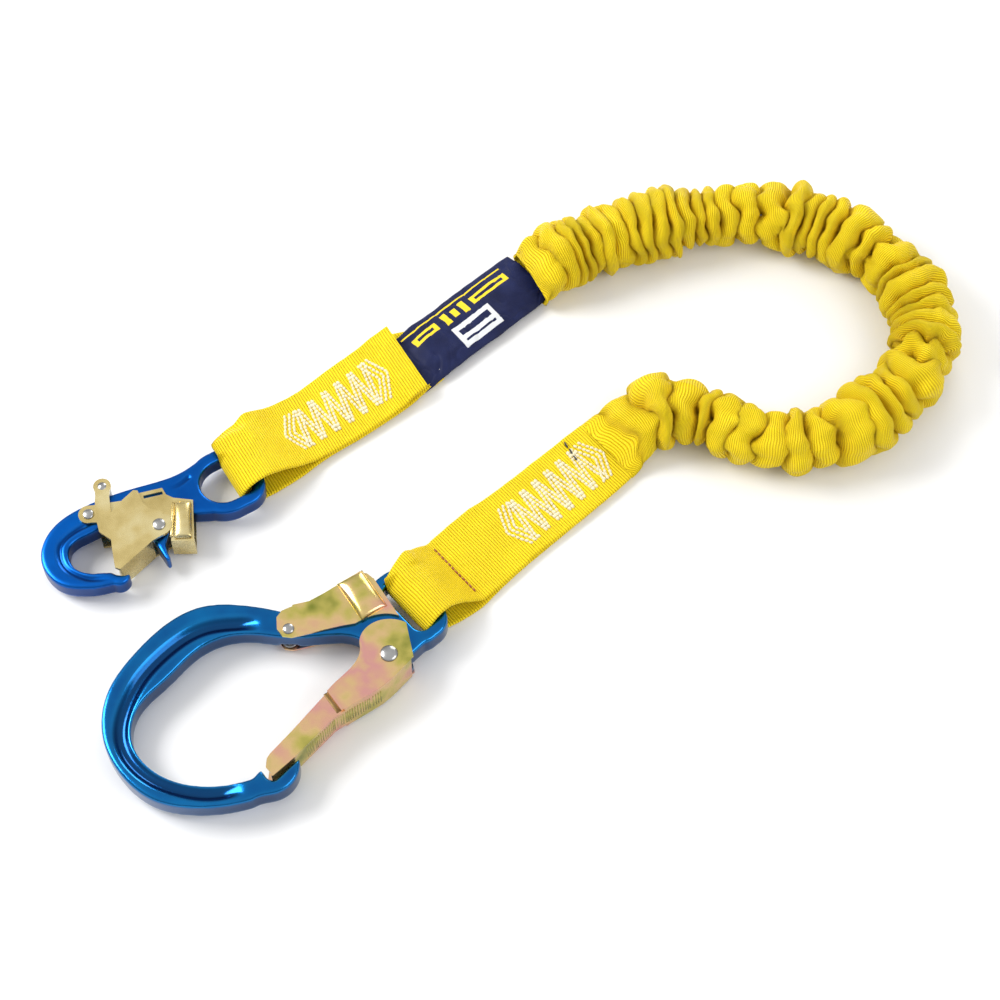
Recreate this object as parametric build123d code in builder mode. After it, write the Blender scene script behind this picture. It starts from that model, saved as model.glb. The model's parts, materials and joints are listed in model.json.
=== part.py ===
from build123d import *
import os
from math import asin, cos, pi, sin, tan, radians

# A shock absorbing lanyard, lying flat: a gathered tubular stretch leg with a flat webbing loop at each
# end, a small double-locking snap hook in one loop and a large rebar hook in the other.
# +Z is up from the surface it lies on, X runs along the lanyard's longer side. Millimetres throughout.

os.makedirs("parts", exist_ok=True)

# ---------------------------------------------------------------- driving dimensions
web_thickness = 2.2  # one layer of the flat webbing
snap_loop_r = 7.8  # inside radius of the webbing loop round each eye bar
snap_loop_reach = 30.0  # from the eye bar to where the two layers come together
rebar_loop_r = 9.0
rebar_loop_reach = 26.0

jacket_r = 18.0  # the gathered leg, outside
jacket_bore_r = 9.0
core_width = 13.0  # the energy absorbing core strap inside the leg
core_thickness = 3.0
strand_r = 1.5  # elastic strands that gather the leg
strand_offsets = [(-4.0, 4.2), (4.0, 4.2), (-4.0, -4.2), (4.0, -4.2)]

snap_thickness = 12.0  # forged body of the snap hook
snap_mid_z = 11.2
snap_origin = (-165.6, 1.6)
snap_heading = -149.0
snap_bar_x = -16.8  # eye bar centre, in the snap hook's own plane
snap_bar_y = 4.2
snap_gate_pivot = (45.5, 13.0)
snap_lever_pivot = (76.5, -14.5)
snap_stop_centre = (62.0, -26.0)

rebar_thickness = 14.0  # forged body of the rebar hook
rebar_mid_z = 12.7
rebar_origin = (-67.0, -109.4)
rebar_heading = -159.5
rebar_bar = (-28.0, -24.1)  # eye bar centre, in the rebar hook's own plane
rebar_bar_turn = 200.7  # direction in which the webbing leaves the eye, in the same plane
rebar_gate_pivot = (1.5, 5.5)
rebar_lever_pivot = (48.0, -29.0)

plate_gap = 0.3  # side clearance between body, lever plates and gate plates
lever_plate = 1.4
gate_plate = 1.6
running_clearance = 0.05  # radial, between a rivet and the plates that turn on it

# the leg's route, chosen by hand: each corner is rounded by the largest arc its runs allow
leg_points = [
    (11.9, 143.3, 18),
    (49.9, 164.3, 18),
    (101.9, 181.3, 18),
    (159.9, 187.3, 18),
    (207.9, 168.3, 18),
    (241.9, 130.3, 18),
    (247.9, 88.3, 18),
    (223.9, 50.3, 18),
    (177.9, 21.3, 18),
    (147.9, 22.3, 18),
    (127.9, 30.3, 18),
    (108.9, 41.3, 18),
    (89.9, 44.8, 18),
    (70.5, 38.3, 18),
    (55.5, 25.1, 18),
]


def corner_radii(points):
    """Largest even radius at each corner of a route: 0.45 of the shorter run over tan(half the turn)."""
    spots = [Vector(*p) for p in points]
    radii = []
    for before, corner, after in zip(spots, spots[1:], spots[2:]):
        first_run = corner - before
        second_run = after - corner
        half_turn = radians(first_run.get_angle(second_run)) / 2
        radii.append(0.45 * min(first_run.length, second_run.length) / tan(half_turn))
    return radii


def flat_plane(x, y, z, heading):
    """A horizontal plane at (x, y, z) whose x runs along the heading."""
    along = (cos(radians(heading)), sin(radians(heading)), 0)
    return Plane(origin=(x, y, z), x_dir=along, z_dir=(0, 0, 1))


def side_plane(flat):
    """The upright plane through a flat plane's origin: x the same, y up."""
    return Plane(origin=flat.origin, x_dir=flat.x_dir, z_dir=-flat.y_dir)


def on_plane(flat, x, y):
    """A plane parallel to flat with its origin at (x, y) on it."""
    return Plane(origin=flat.from_local_coords((x, y, 0)), x_dir=flat.x_dir, z_dir=flat.z_dir)


snap_plane = flat_plane(*snap_origin, snap_mid_z, snap_heading)
rebar_plane = flat_plane(*rebar_origin, rebar_mid_z, rebar_heading)

snap_lever_face = snap_thickness / 2 + plate_gap
snap_gate_face = snap_lever_face + lever_plate + plate_gap
rebar_lever_face = rebar_thickness / 2 + plate_gap
rebar_gate_face = rebar_lever_face + lever_plate + plate_gap

print("corner radii of the leg:", [round(r, 1) for r in corner_radii(leg_points)])


# ---------------------------------------------------------------- the gathered stretch leg
leg_start = Vector(*leg_points[0])
leg_direction = (Vector(*leg_points[1]) - leg_start).normalized()
leg_section = Plane(origin=leg_start, x_dir=leg_direction.cross(Vector(0, 0, 1)), z_dir=leg_direction)

with BuildPart() as stretch_jacket:
    with BuildLine() as jacket_line:
        FilletPolyline(*leg_points, radius=corner_radii(leg_points))
    with BuildSketch(leg_section):
        Circle(jacket_r)
        Circle(jacket_bore_r, mode=Mode.SUBTRACT)
    sweep()
stretch_jacket.part.label = "stretch_jacket"
export_step(stretch_jacket.part, "parts/stretch_jacket.step")
leg_length = sum(edge.length for edge in jacket_line.edges())
ring_area = pi * (jacket_r**2 - jacket_bore_r**2)
volume_ratio = stretch_jacket.part.volume / (ring_area * leg_length)
print("leg length", round(leg_length, 1), "jacket volume over section times length", round(volume_ratio, 4))

with BuildPart() as shock_core:
    with BuildLine():
        FilletPolyline(*leg_points, radius=corner_radii(leg_points))
    with BuildSketch(leg_section):
        Rectangle(core_width, core_thickness)
    sweep()
shock_core.part.label = "shock_core"
export_step(shock_core.part, "parts/shock_core.step")

with BuildPart() as elastic_strands:
    with BuildLine():
        FilletPolyline(*leg_points, radius=corner_radii(leg_points))
    with BuildSketch(leg_section):
        with Locations(*strand_offsets):
            Circle(strand_r)
    sweep()
elastic_strands.part.label = "elastic_strands"
export_step(elastic_strands.part, "parts/elastic_strands.step")


# ---------------------------------------------------------------- flat webbing ends
def webbing_loop(bar_plane, plan, loop_r, reach, stack_end, stack_z, half_width=50):
    """A doubled strap whose loop goes round the eye bar at bar_plane's origin.
    The side profile is drawn in the upright plane and cut to the plan outline."""
    upright = side_plane(bar_plane)
    stack_middle = stack_z + web_thickness - bar_plane.origin.Z
    with BuildPart() as loop:
        with BuildSketch(upright):
            with BuildLine():
                CenterArc((0, 0), loop_r + web_thickness, 0, 360)
                CenterArc((reach, stack_middle), web_thickness, 0, 360)
            make_hull()
            with Locations(((reach + stack_end) / 2, stack_middle)):
                Rectangle(stack_end - reach, 2 * web_thickness)
        extrude(amount=half_width, both=True)
        with BuildSketch(upright):
            with BuildLine():
                CenterArc((0, 0), loop_r, 0, 360)
                CenterArc((reach, stack_middle), 0.05, 0, 360)
            make_hull()
        extrude(amount=half_width, both=True, mode=Mode.SUBTRACT)
        with BuildSketch(bar_plane.offset(-bar_plane.origin.Z)):
            with BuildLine():
                Polyline(*plan, close=True)
            make_face()
        extrude(amount=40, mode=Mode.INTERSECT)
    return loop


snap_stack_z = 1.4
snap_web_plane = flat_plane(*on_plane(snap_plane, snap_bar_x, snap_bar_y).origin, snap_heading + 180)
snap_flap_end = 116.0
snap_web_plan = [
    (-11, -12), (9, -12), (22, -11), (46, -7.5), (snap_flap_end, 2), (snap_flap_end, 48.5),
    (76, 42), (49, 36.8), (30, 32), (9, 12), (-11, 12),
]
rebar_stack_z = 0.0
rebar_web_plane = flat_plane(
    *on_plane(rebar_plane, *rebar_bar).origin, rebar_heading + rebar_bar_turn
)
rebar_web_end = 146.0
rebar_web_plan = [
    (-11, -15), (9, -15), (24, -14.2), (rebar_web_end, -14.2), (rebar_web_end, 29.8),
    (34, 29.8), (9, 15), (-11, 15),
]

# the label sleeve and the strap that runs through it
sleeve_start = (-56.4, 87.6)
sleeve_heading = 42.0
sleeve_length = 83.0
sleeve_width = 40.0
sleeve_height = 10.0
sleeve_wall = 1.0
strap_width = 35.0
sleeve_floor = flat_plane(*sleeve_start, 0, sleeve_heading)
sleeve_section = Plane(
    origin=sleeve_floor.from_local_coords((0, 0, sleeve_height / 2)),
    x_dir=-sleeve_floor.y_dir,
    z_dir=sleeve_floor.x_dir,
)

snap_loop = webbing_loop(
    snap_web_plane, snap_web_plan, snap_loop_r, snap_loop_reach, snap_flap_end, snap_stack_z
)
with BuildPart() as snap_end_web:
    add(snap_loop.part)
    with BuildSketch(sleeve_floor.offset(snap_stack_z)):
        with BuildLine():
            Polyline((-22, -15), (84.9, -17), (92.8, 17), (-22, 16), close=True)
        make_face()
    extrude(amount=web_thickness)
snap_end_web.part.label = "snap_end_web"
export_step(snap_end_web.part, "parts/snap_end_web.step")

rebar_end_web = webbing_loop(
    rebar_web_plane, rebar_web_plan, rebar_loop_r, rebar_loop_reach, rebar_web_end, rebar_stack_z
)
rebar_end_web.part.label = "rebar_end_web"
export_step(rebar_end_web.part, "parts/rebar_end_web.step")

with BuildPart() as label_sleeve:
    with BuildSketch(sleeve_section):
        sleeve_rim = RectangleRounded(sleeve_width, sleeve_height, 4.5)
        offset(sleeve_rim, amount=-sleeve_wall, mode=Mode.SUBTRACT)
    extrude(amount=sleeve_length)
label_sleeve.part.label = "label_sleeve"
export_step(label_sleeve.part, "parts/label_sleeve.step")

leaf_length = 70.0
leaf_width = 30.0
leaf_thickness = 0.5
leaf_heights = [4.6, 5.8, 7.0]
with BuildPart() as label_leaves:
    for height in leaf_heights:
        with BuildSketch(sleeve_floor.offset(height)):
            with Locations((sleeve_length / 2, 0)):
                Rectangle(leaf_length, leaf_width)
        extrude(amount=leaf_thickness)
label_leaves.part.label = "label_leaves"
export_step(label_leaves.part, "parts/label_leaves.step")


# ---------------------------------------------------------------- stitching, proud of the webbing
stitch_height = 0.6
stitch_width = 1.3


def stitch_rows(web_plane, top_z, first, last, sides, count):
    """Zigzag rows across a strap, each a flat Z-shaped bar, between two stations along it."""
    pitch = (last - first) / count
    with BuildPart() as rows:
        for i in range(count):
            x = first + i * pitch
            low_y = sides[0][0] + (sides[1][0] - sides[0][0]) * i / count
            high_y = sides[0][1] + (sides[1][1] - sides[0][1]) * i / count
            with BuildSketch(web_plane.offset(top_z - web_plane.origin.Z)):
                with BuildLine():
                    Polyline((x, low_y), (x + 0.45 * pitch, high_y))
                    offset(amount=stitch_width / 2)
                make_face()
            extrude(amount=stitch_height)
    return rows


snap_stitch_top = snap_stack_z + 2 * web_thickness
snap_stitch_sides = ((2, 27), (9, 37))  # low and high ends of the first row, then of the last
snap_stitch_stations = (34.0, 104.0)
stitch_count = 11
snap_end_stitching = stitch_rows(
    snap_web_plane, snap_stitch_top, *snap_stitch_stations, snap_stitch_sides, stitch_count
)
snap_end_stitching.part.label = "snap_end_stitching"
export_step(snap_end_stitching.part, "parts/snap_end_stitching.step")

rebar_stitch_top = rebar_stack_z + 2 * web_thickness
rebar_stitch_sides = ((-6, 22), (-6, 22))
rebar_stitch_stations = (66.0, 134.0)
rebar_end_stitching = stitch_rows(
    rebar_web_plane, rebar_stitch_top, *rebar_stitch_stations, rebar_stitch_sides, stitch_count
)
rebar_end_stitching.part.label = "rebar_end_stitching"
export_step(rebar_end_stitching.part, "parts/rebar_end_stitching.step")


tack_width = 0.7
tack_height = 0.4


def tack_row(web_plane, top_z, start, end, count):
    """A straight row of short single stitches from start to end."""
    run = (Vector(*end) - Vector(*start)) / count
    turn = Vector(1, 0, 0).get_signed_angle(Vector(run.X, run.Y, 0), Vector(0, 0, 1))
    with BuildPart() as row:
        for i in range(count):
            middle = Vector(*start) + run * (i + 0.5)
            place = on_plane(web_plane, middle.X, middle.Y).offset(top_z - web_plane.origin.Z)
            with BuildSketch(place.rotated((0, 0, turn))):
                Rectangle(run.length * 0.8, tack_width)
            extrude(amount=tack_height)
    return row


red_tack_row = tack_row(rebar_web_plane, rebar_stitch_top, (28.5, 22), (28.5, -12), 12)
red_tack_row.part.label = "red_tack_row"
export_step(red_tack_row.part, "parts/red_tack_row.step")

black_tack_row = tack_row(rebar_web_plane, rebar_stitch_top, (124, 28.5), (120, 23.5), 2)
black_tack_row.part.label = "black_tack_row"
export_step(black_tack_row.part, "parts/black_tack_row.step")


# ---------------------------------------------------------------- pieces both hooks share
def rivet(place, shank_r, head_r, grip, dome):
    """A domed rivet on place's z axis, its heads just outside plates that end at +-grip."""
    upright = side_plane(place)
    dome_r = (head_r**2 + dome**2) / (2 * dome)
    half_angle = asin(head_r / dome_r) / 2
    half_x = dome_r * sin(half_angle)
    half_z = dome - dome_r * (1 - cos(half_angle))
    with BuildPart() as piece:
        with BuildSketch(upright):
            with BuildLine():
                Line((0, -grip - dome), (0, grip + dome))
                ThreePointArc((0, grip + dome), (half_x, grip + half_z), (head_r, grip))
                Polyline((head_r, grip), (shank_r, grip), (shank_r, -grip), (head_r, -grip))
                ThreePointArc((head_r, -grip), (half_x, -grip - half_z), (0, -grip - dome))
            make_face()
        revolve(axis=Axis(place.origin, place.z_dir))
    return piece


def torsion_spring(place, coil_r, wire_r, turns):
    """A close coil round a rivet, from place's origin down."""
    pitch = 2.3 * wire_r
    base = place.offset(-pitch * turns)
    with BuildPart() as coil:
        with BuildLine(base) as coil_line:
            Helix(pitch=pitch, height=pitch * turns, radius=coil_r)
        with BuildSketch(Plane(origin=coil_line.line @ 0, z_dir=coil_line.line % 0)):
            Circle(wire_r)
        sweep(is_frenet=True)
    return coil


# ---------------------------------------------------------------- snap hook
eye_centre = (0.5, 4.2)
snap_shank_r = 2.6
snap_head_r = 3.8
snap_lever_shank_r = 2.4
snap_lever_head_r = 3.3
pocket_r = 5.6  # spring pockets, from the underside
pocket_depth = 3.0
rim_chamfer = 1.0
snap_groove_width = 5.0
snap_groove_depth = 0.9

with BuildPart() as snap_hook_body:
    with BuildSketch(snap_plane):
        with Locations(eye_centre):
            Circle(21)
        with Locations((-3.5, 4.2)):
            RectangleRounded(34, 42, 13)
        with BuildLine():
            Spline(
                (6, -15.5), (18, -13.8), (45, -18), (75, -22), (92, -20.5), (105, -13.5),
                (112.3, -2), (112.6, 9), (107, 20), (96, 27.5), (84, 31.6),
                tangents=[(1, 0.15), (-1, 0.3)],
            )
            ThreePointArc((84, 31.6), (76, 33.6), (72.8, 30.4))
            Polyline((72.8, 30.4), (76.5, 29.6), (79.8, 27.0), (81.5, 24.2))
            Spline(
                (81.5, 24.2), (90, 20.2), (97.6, 12), (96.4, 0.5), (88, -4.2),
                tangents=[(2, -1), (-1, -0.1)],
            )
            Polyline((88, -4.2), (70, -4.0))
            Spline((70, -4), (59.5, -0.5), (54.2, 7), (52.6, 17), tangents=[(-1, 0), (0, 1)])
            Polyline((52.6, 17), (51.7, 32.4))
            ThreePointArc((51.7, 32.4), (50.3, 33.8), (48.9, 32.4))
            Spline(
                (48.9, 32.4), (48.2, 27), (46, 22.3), (43.5, 19.5), (38.6, 14), (32, 11.6),
                (24, 15), (16, 19), (8, 22.5),
            )
            Polyline((8, 22.5), (15, 18), (17, 4), (12, -8), (6, -15.5))
        make_face()
        with Locations(eye_centre):
            Circle(13.7, mode=Mode.SUBTRACT)
        with Locations((-3.85, 4.2)):
            RectangleRounded(18.7, 27.4, 5, mode=Mode.SUBTRACT)
    extrude(amount=snap_thickness / 2, both=True)
    chamfer(snap_hook_body.faces().filter_by(Axis.Z).edges(), rim_chamfer)
    for face_side in (1, -1):
        with BuildSketch(snap_plane.offset(face_side * snap_thickness / 2)):
            with BuildLine() as groove_line:
                Spline(
                    (80, -12.5), (93, -11.5), (103.5, -3), (104.8, 8), (99, 18.5), (89, 24.8)
                )
            trace(line_width=snap_groove_width)
        extrude(amount=-face_side * snap_groove_depth, mode=Mode.SUBTRACT)
    with BuildSketch(snap_plane):
        with Locations(snap_gate_pivot):
            Circle(snap_shank_r)
        with Locations(snap_lever_pivot):
            Circle(snap_lever_shank_r)
    extrude(amount=snap_thickness, both=True, mode=Mode.SUBTRACT)
    with BuildSketch(snap_plane.offset(-snap_thickness / 2)):
        with Locations(snap_gate_pivot, snap_lever_pivot):
            Circle(pocket_r)
    extrude(amount=pocket_depth, mode=Mode.SUBTRACT)
snap_hook_body.part.label = "snap_hook_body"
export_step(snap_hook_body.part, "parts/snap_hook_body.step")

snap_gate_outline = [
    (46, -13), (48, -14.5), (56, -12), (65.3, -7.8), (61.2, -18.5), (57.8, -24),
    (66.5, -26.5), (68.2, -22), (70, -19), (75, -6), (76.5, 0),
]
snap_gate_back = [(40.2, 7), (45.3, 1), (47, -4), (46, -13)]
snap_stop_shank_r = 1.9

with BuildPart() as snap_gate:
    for level, front in (
        (1, [(73, 8), (75, 13), (79, 25), (77, 27.5)]),
        (-1, [(71, 2), (69.5, 8), (71, 25), (70.5, 25.6)]),
    ):
        with BuildSketch(snap_plane.offset(level * snap_gate_face)):
            with BuildLine():
                Polyline(*snap_gate_outline, *front, (53.5, 20.5), (47, 20), *snap_gate_back, close=False)
            make_face()
            with Locations(snap_gate_pivot):
                Circle(7.2)
            with Locations(snap_stop_centre):
                Circle(5)
                Circle(snap_stop_shank_r, mode=Mode.SUBTRACT)
            with Locations(snap_gate_pivot):
                Circle(snap_shank_r + running_clearance, mode=Mode.SUBTRACT)
        extrude(amount=level * gate_plate)
    with BuildSketch(snap_plane):
        with BuildLine():
            Polyline((53.5, 20.5), (77, 27.5), (77.4, 25.7), (54, 18.7), close=True)
        make_face()
    extrude(amount=snap_gate_face + gate_plate, both=True)
snap_gate.part.label = "snap_gate"
export_step(snap_gate.part, "parts/snap_gate.step")

snap_stop_place = on_plane(snap_plane, *snap_stop_centre)
snap_stop_rivet = rivet(snap_stop_place, snap_stop_shank_r, 2.5, snap_gate_face + gate_plate, 0.8)
with BuildPart() as snap_stop_pin:
    add(snap_stop_rivet.part)
    with BuildSketch(snap_stop_place):
        Circle(4.4)
    extrude(amount=snap_gate_face, both=True)
snap_stop_pin.part.label = "snap_stop_pin"
export_step(snap_stop_pin.part, "parts/snap_stop_pin.step")

snap_grip = snap_gate_face + gate_plate + 0.1
snap_gate_rivet = rivet(on_plane(snap_plane, *snap_gate_pivot), snap_shank_r, snap_head_r, snap_grip, 1.5)
snap_gate_rivet.part.label = "snap_gate_rivet"
export_step(snap_gate_rivet.part, "parts/snap_gate_rivet.step")

snap_lock_grip = snap_lever_face + lever_plate + 0.1
snap_lock_rivet = rivet(
    on_plane(snap_plane, *snap_lever_pivot), snap_lever_shank_r, snap_lever_head_r, snap_lock_grip, 1.4
)
snap_lock_rivet.part.label = "snap_lock_rivet"
export_step(snap_lock_rivet.part, "parts/snap_lock_rivet.step")

snap_lever_outline = [
    (73, -19), (62.5, -15), (56, -12.5), (46, -12.2), (33, -8.5), (33, -3.5), (30.5, 0.5), (21.5, 7.5),
    (33, 31.5), (44.3, 25), (38.2, 15.5), (40.5, 9.5), (46, 8.2), (54, 4), (66, -2.5), (77.5, -8.8),
]
with BuildPart() as snap_lock_lever:
    for level in (1, -1):
        with BuildSketch(snap_plane.offset(level * snap_lever_face)):
            with BuildLine():
                Polyline(*snap_lever_outline, close=True)
            make_face()
            with Locations(snap_lever_pivot):
                Circle(5.7)
                Circle(snap_lever_shank_r + running_clearance, mode=Mode.SUBTRACT)
            with Locations((39.5, -6.9)):
                Rectangle(11, 2, rotation=-16, mode=Mode.SUBTRACT)
        extrude(amount=level * lever_plate)
    with BuildSketch(snap_plane):
        with BuildLine():
            Polyline((33, 31.5), (44.3, 25), (43.6, 23.8), (32.3, 30.3), close=True)
        make_face()
    extrude(amount=snap_lever_face + lever_plate, both=True)
    with BuildSketch(snap_plane.offset(snap_lever_face + lever_plate)):
        with BuildLine():
            Polyline((24, 7.5), (28.5, 4.2), (41, 25), (34.5, 29), close=True)
        make_face()
    extrude(amount=1.4, taper=35)
snap_lock_lever.part.label = "snap_lock_lever"
export_step(snap_lock_lever.part, "parts/snap_lock_lever.step")

spring_wire_r = 0.5
spring_turns = 1.5
spring_coil_r = 3.9
rebar_gate_coil_r = 4.9
spring_clearance = 0.7  # below the pocket's floor
snap_spring_level = pocket_depth - snap_thickness / 2 - spring_clearance
snap_gate_spring = torsion_spring(
    on_plane(snap_plane, *snap_gate_pivot).offset(snap_spring_level),
    spring_coil_r, spring_wire_r, spring_turns,
)
snap_gate_spring.part.label = "snap_gate_spring"
export_step(snap_gate_spring.part, "parts/snap_gate_spring.step")
snap_lock_spring = torsion_spring(
    on_plane(snap_plane, *snap_lever_pivot).offset(snap_spring_level),
    spring_coil_r, spring_wire_r, spring_turns,
)
snap_lock_spring.part.label = "snap_lock_spring"
export_step(snap_lock_spring.part, "parts/snap_lock_spring.step")


# ---------------------------------------------------------------- rebar hook
rebar_shank_r = 3.6
rebar_head_r = 5.0
rebar_lever_shank_r = 2.4
rebar_lever_head_r = 3.3
rebar_eye_centre = (-18.5, -20.6)
rebar_pocket_r = 6.6
rebar_groove_width = 6.0
rebar_groove_depth = 1.6
rebar_eye_tilt = rebar_bar_turn - 180

with BuildPart() as rebar_hook_body:
    with BuildSketch(rebar_plane):
        with Locations(rebar_eye_centre):
            RectangleRounded(28.8, 49, 12, rotation=rebar_eye_tilt)
        with BuildLine():
            Spline(
                (-12, -42), (-5, -36.5), (8, -32.5), (25, -33), (38, -36), (50, -43.5), (68, -54),
                (90, -60.6), (110, -57), (131, -46), (151, -29), (161.3, -3), (158, 21),
                (145, 42), (131, 51), (114, 57), (97, 59.4),
            )
            Spline((97, 59.4), (90.5, 59), (84, 60), (75, 58), (68.5, 52), (66, 45))
            Polyline((66, 45), (82.3, 53), (85.6, 50.5), (87.2, 44), (93, 47.6))
            Spline(
                (93, 47.6), (110, 45.3), (128, 37.4), (143, 21.5), (147, 4), (139, -13), (118, -25.3),
                (100, -35), (85, -38), (70, -35.3), (50, -25.5), (30, -19.5), (16, -13.5), (11, -7),
            )
            Polyline((11, -7), (9.6, 2))
            ThreePointArc((9.6, 2), (5, 13), (-5.4, 10.6))
            Spline((-5.4, 10.6), (-12, 7.6), (-22, 2.6), (-30, -2.5))
            Polyline((-30, -2.5), (-12, -42))
        make_face()
        with Locations(rebar_eye_centre):
            RectangleRounded(12, 35, 5.5, rotation=rebar_eye_tilt, mode=Mode.SUBTRACT)
    extrude(amount=rebar_thickness / 2, both=True)
    chamfer(rebar_hook_body.faces().filter_by(Axis.Z).edges(), rim_chamfer)
    for face_side in (1, -1):
        with BuildSketch(rebar_plane.offset(face_side * rebar_thickness / 2)):
            with BuildLine():
                Spline(
                    (74, -45), (92, -49), (112, -44), (136, -29), (151, -8), (152.5, 12),
                    (143, 32), (122, 48.5), (99, 53),
                )
            trace(line_width=rebar_groove_width)
        extrude(amount=-face_side * rebar_groove_depth, mode=Mode.SUBTRACT)
    with BuildSketch(rebar_plane):
        with Locations(rebar_gate_pivot):
            Circle(rebar_shank_r)
        with Locations(rebar_lever_pivot):
            Circle(rebar_lever_shank_r)
    extrude(amount=rebar_thickness, both=True, mode=Mode.SUBTRACT)
    with BuildSketch(rebar_plane.offset(-rebar_thickness / 2)):
        with Locations(rebar_gate_pivot):
            Circle(rebar_pocket_r)
        with Locations(rebar_lever_pivot):
            Circle(pocket_r)
    extrude(amount=pocket_depth, mode=Mode.SUBTRACT)
rebar_hook_body.part.label = "rebar_hook_body"
export_step(rebar_hook_body.part, "parts/rebar_hook_body.step")

rebar_fold = [(-8, 12.4), (5, 19.4), (12, 22.4), (20, 24.4), (31, 26.9), (34.5, 27.9)]
rebar_nose_fold = [(34.5, 27.9), (42, 29.9), (55, 36.9), (70, 44.9), (82.6, 50.4)]
rebar_nose_face = rebar_lever_face  # the plates step inwards towards the nose
with BuildPart() as rebar_gate:
    for level in (1, -1):
        with BuildSketch(rebar_plane.offset(level * rebar_gate_face)):
            with BuildLine():
                Spline((-13.5, -9.1), (-5, -14.6), (3, -15.4), (10, -12.6), (15, -4))
                Spline((15, -4), (17.5, 1), (26, 7.5), (38, 13.6))
                Polyline((38, 13.6), *reversed(rebar_fold), (-10.5, 11.4), (-13.5, -9.1))
            make_face()
            with Locations(rebar_gate_pivot):
                Circle(rebar_shank_r + running_clearance, mode=Mode.SUBTRACT)
        extrude(amount=level * gate_plate)
        with BuildSketch(rebar_plane.offset(level * rebar_nose_face)):
            with BuildLine():
                Polyline(
                    (38, 13.6), (65, 29.9), (80, 38.4), (82.5, 40.4), (84.6, 45),
                    *reversed(rebar_nose_fold), (38, 13.6),
                )
            make_face()
        extrude(amount=level * gate_plate)
        with BuildSketch(rebar_plane.offset(level * rebar_nose_face)):
            with BuildLine():
                Polyline((38, 13.6), (40.2, 14.9), (36.6, 28.5), (34.5, 27.9), close=True)
            make_face()
        extrude(amount=level * (rebar_gate_face + gate_plate - rebar_nose_face))
    for fold, reach in (
        (rebar_fold, rebar_gate_face + gate_plate),
        (rebar_nose_fold, rebar_nose_face + gate_plate),
    ):
        with BuildSketch(rebar_plane):
            with BuildLine():
                Polyline(*fold)
                offset(amount=0.8)
            make_face()
        extrude(amount=reach, both=True)
rebar_gate.part.label = "rebar_gate"
export_step(rebar_gate.part, "parts/rebar_gate.step")

rebar_grip = rebar_gate_face + gate_plate + 0.1
rebar_gate_rivet = rivet(
    on_plane(rebar_plane, *rebar_gate_pivot), rebar_shank_r, rebar_head_r, rebar_grip, 1.9
)
rebar_gate_rivet.part.label = "rebar_gate_rivet"
export_step(rebar_gate_rivet.part, "parts/rebar_gate_rivet.step")

rebar_lock_grip = rebar_lever_face + lever_plate + 0.1
rebar_lock_rivet = rivet(
    on_plane(rebar_plane, *rebar_lever_pivot), rebar_lever_shank_r, rebar_lever_head_r, rebar_lock_grip, 1.4
)
rebar_lock_rivet.part.label = "rebar_lock_rivet"
export_step(rebar_lock_rivet.part, "parts/rebar_lock_rivet.step")

rebar_lever_back = [(41, -41.6), (32, -40.6), (22, -42.6), (13, -45), (0, -48.5)]
with BuildPart() as rebar_lock_lever:
    for level in (1, -1):
        with BuildSketch(rebar_plane.offset(level * rebar_lever_face)):
            with BuildLine():
                Polyline(
                    (52.5, -26), (54, -31), (52, -38), (48, -41), *rebar_lever_back, (-3.5, -46.5), (-6, -42),
                    (-11.5, -15.5),
                )
                Spline((-11.5, -15.5), (-4, -19.6), (3, -20.6), (12.5, -19.4))
                Polyline((12.5, -19.4), (20, -20.6), (35, -22.2), (48, -23.6), (52.5, -26))
            make_face()
            with Locations(rebar_lever_pivot):
                Circle(rebar_lever_shank_r + running_clearance, mode=Mode.SUBTRACT)
        extrude(amount=level * lever_plate)
    with BuildSketch(rebar_plane):
        with BuildLine():
            Polyline(*rebar_lever_back)
            offset(amount=0.7)
        make_face()
    extrude(amount=rebar_lever_face + lever_plate, both=True)
    with BuildSketch(rebar_plane.offset(rebar_lever_face + lever_plate)):
        with BuildLine():
            Polyline((-5.5, -26), (7.5, -25), (11, -43), (0, -45.5), close=True)
        make_face()
    extrude(amount=1.3, taper=35)
rebar_lock_lever.part.label = "rebar_lock_lever"
export_step(rebar_lock_lever.part, "parts/rebar_lock_lever.step")

rebar_spring_level = pocket_depth - rebar_thickness / 2 - spring_clearance
rebar_gate_spring = torsion_spring(
    on_plane(rebar_plane, *rebar_gate_pivot).offset(rebar_spring_level),
    rebar_gate_coil_r, spring_wire_r, spring_turns,
)
rebar_gate_spring.part.label = "rebar_gate_spring"
export_step(rebar_gate_spring.part, "parts/rebar_gate_spring.step")
rebar_lock_spring = torsion_spring(
    on_plane(rebar_plane, *rebar_lever_pivot).offset(rebar_spring_level),
    spring_coil_r, spring_wire_r, spring_turns,
)
rebar_lock_spring.part.label = "rebar_lock_spring"
export_step(rebar_lock_spring.part, "parts/rebar_lock_spring.step")

print("snap eye bar at", snap_web_plane.origin, "rebar eye bar at", rebar_web_plane.origin)
for name, place, spot in (
    ("snap gate pivot", snap_plane, snap_gate_pivot),
    ("snap lever pivot", snap_plane, snap_lever_pivot),
    ("rebar gate pivot", rebar_plane, rebar_gate_pivot),
    ("rebar lever pivot", rebar_plane, rebar_lever_pivot),
):
    print(name, "at", on_plane(place, *spot).origin)
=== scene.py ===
import json
import math
import random
import bpy
import numpy as np
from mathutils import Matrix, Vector, noise


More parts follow.
